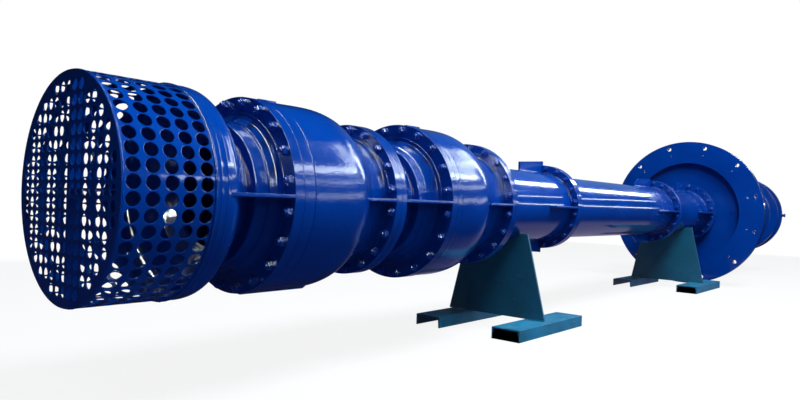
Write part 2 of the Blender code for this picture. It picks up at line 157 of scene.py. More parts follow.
def noise_field(tree, coords, scale, detail=3.0, roughness=0.5, distortion=0.0):
    tex = tree.nodes.new("ShaderNodeTexNoise")
    tex.inputs["Scale"].default_value = scale
    tex.inputs["Detail"].default_value = detail
    tex.inputs["Roughness"].default_value = roughness
    tex.inputs["Distortion"].default_value = distortion
    tree.links.new(coords, tex.inputs["Vector"])
    return tex.outputs["Fac"]


def spread(tree, value, low, high, to_low=0.0, to_high=1.0):
    """Stretch the part of a field between low and high to a new range."""
    node = tree.nodes.new("ShaderNodeMapRange")
    node.inputs["From Min"].default_value = low
    node.inputs["From Max"].default_value = high
    node.inputs["To Min"].default_value = to_low
    node.inputs["To Max"].default_value = to_high
    tree.links.new(value, node.inputs["Value"])
    return node.outputs["Result"]


def maths(tree, operation, first, second):
    node = tree.nodes.new("ShaderNodeMath")
    node.operation = operation
    for value, socket in ((first, node.inputs[0]), (second, node.inputs[1])):
        if isinstance(value, (int, float)):
            socket.default_value = value
        else:
            tree.links.new(value, socket)
    return node.outputs[0]


def blend_colour(tree, share, first, second):
    node = tree.nodes.new("ShaderNodeMix")
    node.data_type = "RGBA"
    tree.links.new(share, node.inputs["Factor"])
    for value, socket in ((first, node.inputs["A"]), (second, node.inputs["B"])):
        if isinstance(value, tuple):
            socket.default_value = value
        else:
            tree.links.new(value, socket)
    return node.outputs["Result"]


def mix_shader(tree, share, first, second):
    node = tree.nodes.new("ShaderNodeMixShader")
    tree.links.new(share, node.inputs["Fac"])
    tree.links.new(first, node.inputs[1])
    tree.links.new(second, node.inputs[2])
    return node.outputs["Shader"]


def object_coords(tree):
    return tree.nodes.new("ShaderNodeTexCoord").outputs["Object"]


def facing_up(tree):
    """0 on walls and undersides, 1 on level tops."""
    geometry = tree.nodes.new("ShaderNodeNewGeometry")
    split = tree.nodes.new("ShaderNodeSeparateXYZ")
    tree.links.new(geometry.outputs["Normal"], split.inputs["Vector"])
    return spread(tree, split.outputs["Z"], 0.45, 1.0)


def bump(tree, shader, layers):
    """Chain of bump layers, each (height field, strength, distance)."""
    normal = None
    for height, strength, distance in layers:
        node = tree.nodes.new("ShaderNodeBump")
        node.inputs["Strength"].default_value = strength
        node.inputs["Distance"].default_value = distance
        tree.links.new(height, node.inputs["Height"])
        if normal is not None:
            tree.links.new(normal, node.inputs["Normal"])
        normal = node.outputs["Normal"]
    tree.links.new(normal, shader.inputs["Normal"])
    tree.links.new(normal, shader.inputs["Coat Normal"])


def enamel(name, swell, grain, peel, dust=0.35):
    """Gloss blue enamel: swell is the wave of the metal below, grain the cast skin, peel the paint."""
    mat, tree, shader = new_material(name)
    coords = object_coords(tree)
    tone = spread(tree, noise_field(tree, coords, 2.2, 4.0), 0.35, 0.68)
    flecks = spread(tree, noise_field(tree, coords, 55.0, 6.0, 0.7), 0.60, 0.78)
    settle = maths(tree, "MULTIPLY", facing_up(tree), spread(tree, noise_field(tree, coords, 9.0, 8.0, 0.7), 0.40, 0.75))
    settle = maths(tree, "MULTIPLY", settle, dust)
    colour = blend_colour(tree, tone, DEEP_BLUE, BLUE)
    colour = blend_colour(tree, maths(tree, "MULTIPLY", flecks, 0.12), colour, BLUE_DUST)
    colour = blend_colour(tree, settle, colour, BLUE_DUST)
    tree.links.new(colour, shader.inputs["Base Color"])
    rough = spread(tree, noise_field(tree, coords, 14.0, 5.0, 0.6), 0.3, 0.7, 0.12, 0.22)
    rough = maths(tree, "ADD", rough, maths(tree, "MULTIPLY", settle, 0.3))
    tree.links.new(rough, shader.inputs["Roughness"])
    shader.inputs["Specular IOR Level"].default_value = 0.10
    shader.inputs["Coat Weight"].default_value = 0.9
    shader.inputs["Coat Roughness"].default_value = 0.03
    layers = [(noise_field(tree, coords, 5.5, 2.0, 0.4), swell, 0.02)]
    layers.append((noise_field(tree, coords, 64.0, 4.0, 0.55), grain, 0.0012))
    layers.append((noise_field(tree, coords, 330.0, 2.0), peel, 0.0003))
    bump(tree, shader, layers)
    return mat


def bolt_enamel():
    """Thicker, duller coat of the same blue on nuts and stud ends."""
    mat, tree, shader = new_material("bolt_enamel")
    coords = object_coords(tree)
    tone = spread(tree, noise_field(tree, coords, 38.0, 4.0), 0.35, 0.65)
    colour = blend_colour(tree, tone, DEEP_BLUE, BLUE)
    tree.links.new(colour, shader.inputs["Base Color"])
    rough = spread(tree, noise_field(tree, coords, 70.0, 4.0), 0.3, 0.7, 0.16, 0.34)
    tree.links.new(rough, shader.inputs["Roughness"])
    shader.inputs["Coat Weight"].default_value = 0.5
    shader.inputs["Coat Roughness"].default_value = 0.10
    bump(tree, shader, [(noise_field(tree, coords, 160.0, 3.0), 0.5, 0.0012)])
    return mat


def turned_steel():
    """Machined steel with fine turning marks along the shaft."""
    mat, tree, shader = new_material("turned_steel")
    coords = object_coords(tree)
    wave = tree.nodes.new("ShaderNodeTexWave")
    wave.wave_type = "BANDS"
    wave.bands_direction = "X"
    wave.inputs["Scale"].default_value = 260.0
    wave.inputs["Distortion"].default_value = 0.6
    tree.links.new(coords, wave.inputs["Vector"])
    stain = spread(tree, noise_field(tree, coords, 24.0, 6.0, 0.65), 0.48, 0.74)
    tree.links.new(blend_colour(tree, stain, STEEL, (0.19, 0.17, 0.15, 1.0)), shader.inputs["Base Color"])
    rough = spread(tree, stain, 0.0, 1.0, 0.24, 0.55)
    tree.links.new(rough, shader.inputs["Roughness"])
    shader.inputs["Metallic"].default_value = 1.0
    bump(tree, shader, [(wave.outputs["Fac"], 0.12, 0.0004)])
    return mat


def shop_paint(name, colour, light, worn):
    """Satin teal workshop paint with scuffs, chips and a little rust."""
    mat, tree, shader = new_material(name)
    coords = object_coords(tree)
    stretched = tree.nodes.new("ShaderNodeMapping")
    stretched.inputs["Scale"].default_value = (1.0, 2.4, 9.0)
    tree.links.new(coords, stretched.inputs["Vector"])
    patch = spread(tree, noise_field(tree, coords, 4.5, 6.0, 0.62), 0.38, 0.66)
    scuff = spread(tree, noise_field(tree, stretched.outputs["Vector"], 7.0, 9.0, 0.72, 0.8), 0.57, 0.70)
    chip = spread(tree, noise_field(tree, coords, 30.0, 8.0, 0.75), 0.67, 0.70)
    scuff = maths(tree, "MULTIPLY", scuff, worn)
    chip = maths(tree, "MULTIPLY", chip, worn)
    base = blend_colour(tree, patch, colour, light)
    base = blend_colour(tree, maths(tree, "MULTIPLY", scuff, 0.55), base, SCUFF)
    base = blend_colour(tree, chip, base, RUST)
    settle = maths(tree, "MULTIPLY", facing_up(tree), spread(tree, noise_field(tree, coords, 12.0, 8.0, 0.7), 0.35, 0.8))
    base = blend_colour(tree, maths(tree, "MULTIPLY", settle, 0.30 * worn), base, SCUFF)
    tree.links.new(base, shader.inputs["Base Color"])
    rough = spread(tree, noise_field(tree, coords, 18.0, 6.0, 0.6), 0.3, 0.7, 0.34, 0.52)
    rough = maths(tree, "ADD", rough, maths(tree, "MULTIPLY", chip, 0.3))
    tree.links.new(rough, shader.inputs["Roughness"])
    shader.inputs["Specular IOR Level"].default_value = 0.45
    layers = [(noise_field(tree, coords, 70.0, 5.0, 0.6), 0.25, 0.002)]
    layers.append((chip, 0.4, -0.0006))
    bump(tree, shader, layers)
    return mat


def floor_paint():
    """Pale floor that fades to plain white far out; the gloss paint mirrors it darker than it looks, except for a
    painted lilac glow under and beyond the pump from the middle on, which paints a reflection on the pump's underside.
    Bounced light from it is a dull dark grey that keeps that underside in painted shade.
    """
    mat, tree, shader = new_material("pale_floor")
    coords = object_coords(tree)
    tone = spread(tree, noise_field(tree, coords, 0.8, 3.0), 0.3, 0.7)
    colour = blend_colour(tree, tone, FLOOR, (0.89, 0.89, 0.89, 1.0))
    tree.links.new(colour, shader.inputs["Base Color"])
    shader.inputs["Roughness"].default_value = 0.9
    shader.inputs["Specular IOR Level"].default_value = 0.1
    split = tree.nodes.new("ShaderNodeSeparateXYZ")
    tree.links.new(coords, split.inputs["Vector"])
    across = spread(tree, maths(tree, "ABSOLUTE", split.outputs["Y"], 0.0), 1.3, 6.5)
    beyond = spread(tree, maths(tree, "ABSOLUTE", split.outputs["X"], 0.0), 5.2, 10.0)
    white = tree.nodes.new("ShaderNodeEmission")
    white.inputs["Color"].default_value = (1.0, 1.0, 1.0, 1.0)
    fade = maths(tree, "MAXIMUM", maths(tree, "MAXIMUM", across, beyond), 0.88)
    seen = mix_shader(tree, fade, shader.outputs["BSDF"], white.outputs["Emission"])
    # painted shade: to bounced diffuse light the floor is a dull dark grey, so the pump's underside stays dark
    dull = tree.nodes.new("ShaderNodeBsdfDiffuse")
    dull.inputs["Color"].default_value = (0.16, 0.15, 0.20, 1.0)
    # painted reflection: a lilac glow that only glossy rays see, on the floor under and beyond the pump from the middle
    # on; elsewhere the gloss sees the floor nearly black
    painted_reflection_glow = tree.nodes.new("ShaderNodeEmission")
    painted_reflection_glow.inputs["Color"].default_value = (0.44, 0.40, 0.62, 1.0)
    painted_reflection_glow.inputs["Strength"].default_value = 0.55
    dark = tree.nodes.new("ShaderNodeEmission")
    dark.inputs["Color"].default_value = (0.010, 0.012, 0.030, 1.0)
    far_side = spread(tree, split.outputs["Y"], -0.95, -0.55)
    behind = spread(tree, split.outputs["X"], -2.6, -1.6)
    gloss_bright_share = maths(tree, "MULTIPLY", far_side, behind)
    mirrored = mix_shader(tree, gloss_bright_share, dark.outputs["Emission"], painted_reflection_glow.outputs["Emission"])
    path = tree.nodes.new("ShaderNodeLightPath")
    others = mix_shader(tree, path.outputs["Is Glossy Ray"], dull.outputs["BSDF"], mirrored)
    whole = mix_shader(tree, path.outputs["Is Camera Ray"], others, seen)
    tree.links.new(whole, tree.nodes["Material Output"].inputs["Surface"])
    return mat


CAST = enamel("cast_enamel", swell=0.15, grain=0.80, peel=0.30)
SMOOTH = enamel("plate_enamel", swell=0.06, grain=0.16, peel=0.16)
SHEET = enamel("sheet_enamel", swell=0.09, grain=0.24, peel=0.20)
WELD = enamel("weld_enamel", swell=0.08, grain=0.60, peel=0.30, dust=0.1)
BOLTS = bolt_enamel()
BRIGHT = turned_steel()
SADDLE = shop_paint("saddle_paint", TEAL_DARK, TEAL, 0.30)
CHANNEL = shop_paint("channel_paint", TEAL, TEAL_LIGHT, 1.0)


# shaping helpers
def at(station):
    return FRONT_X + station


def rounded(points, closed=True):
    """Outline of (along, radius, fillet) corners with each fillet drawn as an arc."""
    outline = []
    for i, corner in enumerate(points):
        here = Vector(corner[:2])
        fillet = corner[2] if len(corner) > 2 else 0.0
        at_end = not closed and i in (0, len(points) - 1)
        if fillet == 0.0 or at_end:
            outline.append(tuple(here))
            continue
        before = Vector(points[i - 1][:2]) - here
        after = Vector(points[(i + 1) % len(points)][:2]) - here
        half = before.angle(after) / 2
        reach = min(fillet / math.tan(half), 0.48 * before.length, 0.48 * after.length)
        radius = reach * math.tan(half)
        middle = (before.normalized() + after.normalized()).normalized()
        centre = here + middle * (radius / math.sin(half))
        spoke = here + before.normalized() * reach - centre
        last = here + after.normalized() * reach - centre
        turn = spoke.angle_signed(last)
        steps = max(2, math.ceil(abs(turn) / ARC_STEP))
        for k in range(steps + 1):
            step = Matrix.Rotation(-turn * k / steps, 2)
            outline.append(tuple(centre + step @ spoke))
    return outline


def smooth_run(points, steps=4):
    """Points of a smooth curve through a few hand-set ones."""
    run = []
    for i in range(len(points) - 1):
        p0 = Vector(points[max(i - 1, 0)])
        p1 = Vector(points[i])
        p2 = Vector(points[i + 1])
        p3 = Vector(points[min(i + 2, len(points) - 1)])
        for k in range(steps):
            t = k / steps
            value = 2 * p1 + (p2 - p0) * t
            value += (2 * p0 - 5 * p1 + 4 * p2 - p3) * t * t
            value += (3 * p1 - p0 - 3 * p2 + p3) * t ** 3
            run.append(tuple(value / 2))
    run.append(points[-1])
    return run


def turn_profile(outline, segments=SEGMENTS, closed=True):
    """Spin an (along, radius) outline round the X axis."""
    bm = bmesh.new()
    verts = [bm.verts.new((x, 0.0, r)) for x, r in outline]
    pairs = list(zip(verts, verts[1:]))
    if closed:
        pairs.append((verts[-1], verts[0]))
    edges = [bm.edges.new(pair) for pair in pairs]
    bmesh.ops.spin(
        bm,
        geom=verts + edges,
        cent=(0.0, 0.0, 0.0),
        axis=(1.0, 0.0, 0.0),
        angle=FULL_TURN,
        steps=segments,
        use_merge=True,
    )
    bmesh.ops.remove_doubles(bm, verts=bm.verts[:], dist=0.00001)
    return bm


def finish_piece(bm, name, mat, replaces=(), sharp=38.0):
    """Make the bmesh a piece of the pump, with its place in its mesh."""
    bmesh.ops.recalc_face_normals(bm, faces=bm.faces[:])
    if bm.calc_volume(signed=True) < 0:
        bmesh.ops.reverse_faces(bm, faces=bm.faces[:])
    for face in bm.faces:
        face.smooth = True
    mesh = bpy.data.meshes.new(name)
    bm.to_mesh(mesh)
    bm.free()
    mesh.set_sharp_from_angle(angle=math.radians(sharp))
    mesh.materials.append(mat)
    obj = bpy.data.objects.new(name, mesh)
    bpy.context.scene.collection.objects.link(obj)
    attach(obj, "root")
    if replaces:
        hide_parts(*replaces)
    even = obj.modifiers.new("even_shading", "WEIGHTED_NORMAL")
    even.keep_sharp = True
    return obj


def on_pump(bm):
    """Move a bmesh made round the X axis, from station 0, onto the pump axis."""
    bmesh.ops.translate(bm, verts=bm.verts[:], vec=(FRONT_X, 0.0, AXIS_Z))


def turned(name, outline, mat, replaces=(), segments=SEGMENTS, closed=True):
    bm = turn_profile(outline, segments, closed)
    on_pump(bm)
    return finish_piece(bm, name, mat, replaces)


def soften(bm, width, segments=2, angle=30.0):
    """Round every edge sharper than the given angle."""
    limit = math.radians(angle)
    edges = [e for e in bm.edges if len(e.link_faces) == 2 and e.calc_face_angle(0.0) > limit]
    bmesh.ops.bevel(
        bm,
        geom=edges,
        offset=width,
        affect="EDGES",
        segments=segments,
        profile=0.5,
        material=-1,
        clamp_overlap=True,
    )


def push_out(bm, faces, step):
    grown = bmesh.ops.extrude_face_region(bm, geom=faces)
    moved = [g for g in grown["geom"] if isinstance(g, bmesh.types.BMVert)]
    bmesh.ops.translate(bm, verts=moved, vec=step)


def circle(count, radius, centre=(0.0, 0.0), offset=0.0):
    points = []
    for i in range(count):
        a = offset + FULL_TURN * i / count
        points.append((centre[0] + radius * math.cos(a), centre[1] + radius * math.sin(a)))
    return points


def pierced_plate(station, thickness, loops, edge=EDGE):
    """Flat disc square to the axis, bounded by the first (y, z) loop and pierced by the others."""
    bm = bmesh.new()
    edges = []
    for loop in loops:
        verts = [bm.verts.new((at(station), y, AXIS_Z + z)) for y, z in loop]
        edges += [bm.edges.new(pair) for pair in zip(verts, verts[1:] + verts[:1])]
    bmesh.ops.triangle_fill(bm, use_beauty=True, use_dissolve=False, edges=edges, normal=(-1, 0, 0))
    push_out(bm, bm.faces[:], (thickness, 0.0, 0.0))
    soften(bm, edge, 2, 50.0)
    return bm


def radial_plate(outline, thickness, turn_deg, edge=0.002):
    """Plate in a plane through the pump axis; outline is (station, radius) corners."""
    bm = bmesh.new()
    face = bm.faces.new([bm.verts.new((x, -thickness / 2, r)) for x, r in outline])
    push_out(bm, [face], (0.0, thickness, 0.0))
    soften(bm, edge, 2, 20.0)
    turn = Matrix.Rotation(math.radians(turn_deg), 3, "X")
    bmesh.ops.rotate(bm, verts=bm.verts[:], cent=(0.0, 0.0, 0.0), matrix=turn)
    on_pump(bm)
    return bm


def stamp(bm, master, matrix):
    """Add a placed copy of a mesh."""
    first = len(bm.verts)
    bm.from_mesh(master)
    bm.verts.ensure_lookup_table()
    bmesh.ops.transform(bm, matrix=matrix, verts=bm.verts[first:])


def as_mesh(bm, name):
    mesh = bpy.data.meshes.new(name)
    bm.to_mesh(mesh)
    bm.free()
    return mesh


# welds
def weld_path(paths, name, size, mat, ripple=0.14, pitch=0.007):
    """Rippled weld beads; each path is (points, closed) with a point every few millimetres."""
    curve = bpy.data.curves.new(name, "CURVE")
    curve.dimensions = "3D"
    curve.bevel_depth = size
    curve.bevel_resolution = 2
    curve.use_fill_caps = True
    for points, closed in paths:
        spline = curve.splines.new("POLY")
        spline.points.add(len(points) - 1)
        spline.use_cyclic_u = closed
        run = 0.0
        before = Vector(points[0])
        for point, place in zip(spline.points, points):
            run += (Vector(place) - before).length
            before = Vector(place)
            wander = noise.noise(Vector(place) * 60.0)
            point.co = (*place, 1.0)
            point.radius = 1.0 + ripple * math.sin(FULL_TURN * run / pitch) + 0.22 * wander
    maker = bpy.data.objects.new(name + "_path", curve)
    bpy.context.scene.collection.objects.link(maker)
    bpy.context.view_layer.update()
    graph = bpy.context.evaluated_depsgraph_get()
    mesh = bpy.data.meshes.new_from_object(maker.evaluated_get(graph))
    bpy.data.objects.remove(maker)
    bm = bmesh.new()
    bm.from_mesh(mesh)
    bpy.data.meshes.remove(mesh)
    bmesh.ops.remove_doubles(bm, verts=bm.verts[:], dist=0.00001)
    return finish_piece(bm, name, mat, sharp=60.0)


def ring_path(station, radius, count=420):
    points = []
    for y, z in circle(count, radius):
        points.append((at(station), y, AXIS_Z + z))
    return points, True


def line_path(start, end, spacing=0.0035):
    start = Vector(start)
    end = Vector(end)
    count = max(3, round((end - start).length / spacing))
    return [tuple(start.lerp(end, i / count)) for i in range(count + 1)], False


def radial_line(first, last, radius, turn_deg, side):
    """Weld path along the foot of a radial plate, on one side of it."""
    a = math.radians(turn_deg)
    outward = Vector((0.0, -math.sin(a), math.cos(a)))
    across = Vector((0.0, math.cos(a), math.sin(a)))
    centre = Vector((0.0, 0.0, AXIS_Z))
    foot = centre + outward * radius + across * side
    return line_path((at(first), foot.y, foot.z), (at(last), foot.y, foot.z))


# strainer
def grow_ring(bm, edges, place):
    """Extrude a ring of edges and set the new points by their angle."""
    grown = bmesh.ops.extrude_edge_only(bm, edges=edges)["geom"]
    for v in grown:
        if isinstance(v, bmesh.types.BMVert):
            v.co = place(math.atan2(v.co.y, v.co.x))
    return [g for g in grown if isinstance(g, bmesh.types.BMEdge)]


def punched_cell(width, height, hole_r, thickness, edge):
    """One rectangle of sheet round a punched hole, with rounded rims."""
    bm = bmesh.new()

    def on_circle(radius, depth):
        return lambda a: (radius * math.cos(a), radius * math.sin(a), -depth)

    def on_border(depth):
        def place(a):
            most = max(abs(math.cos(a)), abs(math.sin(a)))
            return (width / 2 * math.cos(a) / most, height / 2 * math.sin(a) / most, -depth)
        return place

    made = bmesh.ops.create_circle(bm, cap_ends=False, segments=HOLE_SEGMENTS, radius=hole_r + edge)
    rim = list({e for v in made["verts"] for e in v.link_edges})
    flat = grow_ring(bm, rim, on_circle(hole_r + 2.5 * edge, 0.0))
    grow_ring(bm, flat, on_border(0.0))
    ring = grow_ring(bm, rim, on_circle(hole_r + edge * 0.3, edge * 0.3))
    ring = grow_ring(bm, ring, on_circle(hole_r, edge))
    ring = grow_ring(bm, ring, on_circle(hole_r, thickness - edge))
    ring = grow_ring(bm, ring, on_circle(hole_r + edge, thickness))
    grow_ring(bm, ring, on_border(thickness))
    return as_mesh(bm, "punched_cell")


def basket_sheet():
    """Rolled sheet with five rows of forty-eight punched holes."""
    pitch = (BASKET_END - BASKET_START) / BASKET_ROWS
    around = FULL_TURN * STRAINER_R / BASKET_COLUMNS
    cell = punched_cell(pitch, around, BASKET_HOLE_R, SHEET_T, PUNCH_EDGE)
    bm = bmesh.new()
    for row in range(BASKET_ROWS):
        for column in range(BASKET_COLUMNS):
            place = ((row + 0.5) * pitch, (column + 0.5) * around, 0.0)
            stamp(bm, cell, Matrix.Translation(place))
    for v in bm.verts:
        angle = v.co.y / STRAINER_R
        radius = STRAINER_R + v.co.z
        x = at(BASKET_START + v.co.x)
        v.co = (x, -radius * math.cos(angle), AXIS_Z + radius * math.sin(angle))
    bmesh.ops.remove_doubles(bm, verts=bm.verts[:], dist=0.00005)
    for x in (at(BASKET_START), at(BASKET_END)):
        rims = [e for e in bm.edges if e.is_boundary and abs(e.verts[0].co.x - x) < 0.0001]
        bmesh.ops.bridge_loops(bm, edges=rims)
    names = ["basket_panel_" + str(i + 1) for i in range(12)]
    finish_piece(bm, "strainer_sheet", SHEET, names)


def end_grating():
    """Flat end plate with round holes in square rows."""
    loops = [circle(SEGMENTS, STRAINER_R)]
    reach = int(END_HOLE_FIELD_R / END_HOLE_PITCH) + 1
    for i in range(-reach, reach + 1):
        for j in range(-reach, reach + 1):
            y = i * END_HOLE_PITCH
            z = j * END_HOLE_PITCH
            if math.hypot(y, z) <= END_HOLE_FIELD_R:
                loops.append(circle(HOLE_SEGMENTS, END_HOLE_R, (y, z)))
    bm = pierced_plate(0.0, PLATE_T, loops, 0.0011)
    finish_piece(bm, "strainer_end_grating", SHEET, ["strainer_end_plate"])


def shoulder():
    """Plain band and the dome that closes the strainer onto the bell."""
    dome = [(0.412, BAND_R), (0.434, 0.4320), (0.456, 0.4190), (0.480, 0.3950), (0.524, 0.3350)]
    outer = [(SHOULDER_START, STRAINER_R), (0.352, BAND_R, 0.004)]
    for station, rise in ((0.3710, 0.0022), (0.3990, 0.0014)):
        outer += [(station - 0.0040, BAND_R), (station, BAND_R + rise, 0.002), (station + 0.0040, BAND_R)]
    outer += smooth_run(dome, 5)
    outer += [(0.5255, 0.3370, 0.002), (0.5330, 0.3300, 0.003), (0.5320, 0.2900, 0.004)]
    outer.append((SHOULDER_END, BELL_NECK_R))
    inner = [(x - 0.0040, r - SHEET_T) for x, r in smooth_run(dome, 2)[:-1]]
    inner = [(SHOULDER_START, STRAINER_R - SHEET_T)] + inner
    inner += [(0.5240, 0.2850, 0.004), (SHOULDER_END, BELL_NECK_R - 0.0070)]
    outline = rounded(outer + inner[::-1])
    turned("strainer_dome", outline, SHEET, ["strainer_shoulder"])


def strainer_welds():
    rings = [ring_path(SHOULDER_START + 0.0010, STRAINER_R + 0.0006)]
    weld_path(rings, "strainer_seam_weld", 0.0060, WELD, 0.22, 0.012)
    rim = [ring_path(PLATE_T + 0.0004, STRAINER_R - 0.0006)]
    weld_path(rim, "strainer_rim_weld", 0.0020, WELD, 0.12, 0.008)


def strainer_cross():
    """Rounded flat bars standing on edge behind the end plate."""
    low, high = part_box("strainer_stiffener")
    half = 0.004
    for name, size in (("upright", (0, 1)), ("level", (1, 0))):
        bm = bmesh.new()
        bmesh.ops.create_cube(bm, size=1.0)
        depth = high.x - low.x
        if size[1]:
            scale = (depth, 2 * half, high.z - low.z)
        else:
            scale = (depth - 0.0010, high.y - low.y, 2 * half)
        bmesh.ops.scale(bm, vec=scale, verts=bm.verts[:])
        bmesh.ops.translate(bm, vec=((low.x + high.x) / 2, 0.0, AXIS_Z), verts=bm.verts[:])
        soften(bm, 0.0012)
        replaced = ["strainer_stiffener"] if size[1] else []
        finish_piece(bm, "stiffener_bar_" + name, SHEET, replaced)


# castings
def bell_casting():
    front, joint, _, rim = JOINT_1
    outline = [
        (SHOULDER_END + GAP, BELL_NECK_R, 0.003), (0.6100, BELL_NECK_R, 0.004), (0.6100, 0.3110, 0.008),
        (0.6660, 0.3150, 0.004), (0.6700, 0.3240, 0.005), (0.6980, 0.3400, 0.012), (front - 0.005, 0.3560, 0.004),
        (front - 0.005, 0.3700, 0.0035), (front, 0.3700, 0.001), (front, rim, EDGE), (joint - GAP, rim, EDGE), (joint - GAP, 0.3300), (0.6700, 0.2700, 0.03),
        (SHOULDER_END + GAP, 0.2250),
    ]
    turned("bell_casting", rounded(outline), CAST, ["suction_bell"])
    foot = [
        (0.5900, 0.2300), (0.5900, 0.2560), (0.5310, 0.3290), (0.4800, 0.3965), (0.4560, 0.4205),
        (0.4330, 0.4332), (0.4100, 0.4380), (front + 0.008, rim - 0.001), (front + 0.008, 0.3000),
    ]
    for side, turn in (("near", 90), ("far", -90)):
        bm = radial_plate(foot, RIB_T, turn, 0.003)
        finish_piece(bm, "bell_rib_" + side, CAST)


def bowl(name, inlet, outlet, dome, inner, node):
    _, joint, back, rim = inlet
    front, joint_2, _, rim_2 = outlet
    outline = [(joint, 0.3300), (joint, rim, EDGE), (back - 0.004, rim, 0.003), (back, rim - 0.010, 0.0015)]
    outline += [(back + 0.004, dome[0][1], 0.003)] + smooth_run(dome, 5)[1:]
    outline += [(front - 0.009, dome[-1][1] + 0.0030, 0.006), (front - 0.005, dome[-1][1] + 0.0140, 0.004)]
    outline += [(front - 0.005, dome[-1][1] + 0.0250, 0.0035), (front, dome[-1][1] + 0.0250, 0.001)]
    outline += [(front, rim_2, EDGE), (joint_2 - GAP, rim_2, EDGE)] + inner
    turned(name, rounded(outline), CAST, [node])


def side_ribs(name, start, radius, front, rim):
    """Pair of side ribs from a bowl's shoulder to its outlet flange."""
    top = rim - 0.0008
    outline = [(start, top), (front + 0.008, top), (front + 0.008, 0.2950), (start, radius)]
    for side, turn in (("near", 90), ("far", -90)):
        finish_piece(radial_plate(outline, RIB_T, turn, 0.003), name + "_" + side, CAST)


def crown_lug(name, start, length, body_r):
    outline = [(start, 0.4200), (start, 0.4480), (start + length, 0.4480), (start + length, body_r - 0.01)]
    finish_piece(radial_plate(outline, 0.030, 0, 0.0025), name, CAST)


def first_stage_bowl():
    dome = [
        (0.8400, 0.4345), (0.9200, 0.4356), (1.0100, 0.4360), (1.0750, 0.4320), (1.1300, 0.4200),
        (1.1750, 0.4010), (1.2130, 0.3760), (1.2450, 0.3560), (1.3000, 0.3350), (1.3550, 0.3190),
    ]
    inner = [(JOINT_A[1] - GAP, 0.2700), (1.2500, 0.3000, 0.05), (1.1000, 0.3900, 0.1), (0.8300, 0.4050, 0.02)]
    bowl("first_bowl_casting", JOINT_1, JOINT_A, dome, inner, "first_bowl")
    side_ribs("first_bowl_rib", 1.1780, 0.3500, JOINT_A[0], JOINT_A[3])
    crown_lug("first_bowl_lug", 0.8300, 0.1000, 0.4350)
    keel = [(JOINT_1[1] + 0.0008, 0.4250), (JOINT_1[1] + 0.0008, 0.4490), (1.1300, 0.4490), (1.1480, 0.4400)]
    keel.append((1.1480, 0.4000))
    finish_piece(radial_plate(keel, 0.020, 180, 0.0025), "first_bowl_keel", CAST)


def second_stage_inlet():
    _, joint, back, rim = JOINT_A
    front, joint_2, _, rim_2 = JOINT_C
    dome = [(1.4700, 0.3820), (1.4800, 0.3780), (1.5000, 0.3620), (1.5300, 0.3350), (1.5800, 0.2960)]
    dome.append((1.6350, 0.2560))
    outline = [(joint, 0.2700), (joint, rim, EDGE), (back, rim, 0.003), (back, 0.3840, 0.001)]
    outline += smooth_run(dome, 5)
    outline += [
        (1.6600, 0.2540, 0.004), (1.6600, 0.3060, 0.008), (1.7090, 0.3100, 0.004), (1.7130, 0.3180, 0.005),
        (1.7580, 0.3280, 0.012), (front - 0.005, 0.3440, 0.004), (front - 0.005, 0.3660, 0.0035),
        (front, 0.3660, 0.001), (front, rim_2, EDGE), (joint_2 - GAP, rim_2, EDGE),
        (joint_2 - GAP, 0.3300), (1.7300, 0.2800, 0.03), (1.6450, 0.2350, 0.03), (1.5900, 0.2400, 0.03),
        (1.5000, 0.2650, 0.03),
    ]
    turned("stage_inlet_casting", rounded(outline), CAST, ["stage_inlet"])
    side = [
        (back - 0.008, 0.3700), (back - 0.008, rim - 0.001), (front + 0.008, rim_2 - 0.001),
        (front + 0.008, 0.3400), (1.6450, 0.2420), (1.6000, 0.2650),
    ]
    for name, turn in (("near", 90), ("far", -90)):
        finish_piece(radial_plate(side, RIB_T, turn, 0.003), "stage_inlet_rib_" + name, CAST)


def second_stage_bowl():
    dome = [
        (1.8900, 0.4330), (1.9600, 0.4342), (2.0450, 0.4345), (2.1050, 0.4300), (2.1550, 0.4180),
        (2.1950, 0.3990), (2.2300, 0.3740), (2.2600, 0.3550), (2.3500, 0.3320), (2.4430, 0.3150),
    ]
    inner = [(JOINT_D[1] - GAP, 0.2500), (2.3300, 0.2900, 0.05), (2.1500, 0.3900, 0.1), (1.8900, 0.4050, 0.02)]
    bowl("second_bowl_casting", JOINT_C, JOINT_D, dome, inner, "second_bowl")
    side_ribs("second_bowl_rib", 2.2280, 0.3500, JOINT_D[0], JOINT_D[3])
    crown_lug("second_bowl_lug", 1.8850, 0.1150, 0.4330)


# column
def column(number, first, last, radius, collar=0.0):
    """Flanged pipe; the collar is the thicker stub behind the first flange."""
    _, joint, back, rim = first
    front, joint_2, _, rim_2 = last
    bore = radius - PIPE_WALL
    outline = [(joint, bore), (joint, rim, EDGE), (back, rim, EDGE)]
    if collar > 0.0:
        outline += [(back, radius + 0.0260, 0.004), (back + collar, radius + 0.0220, 0.003)]
        outline += [(back + collar + 0.0200, radius, 0.006)]
    else:
        outline += [(back, radius, 0.004)]
    outline += [(front, radius, 0.004), (front, rim_2, EDGE), (joint_2 - GAP, rim_2, EDGE), (joint_2 - GAP, bore)]
    name = "column_pipe_" + str(number)
    turned("column_tube_" + str(number), rounded(outline), SMOOTH, [name])
    rings = [ring_path(front - 0.0040, radius + 0.0030)]
    if collar == 0.0:
        rings.append(ring_path(back + 0.0040, radius + 0.0030))
    weld_path(rings, "column_flange_weld_" + str(number), 0.0065, WELD, 0.16, 0.009)


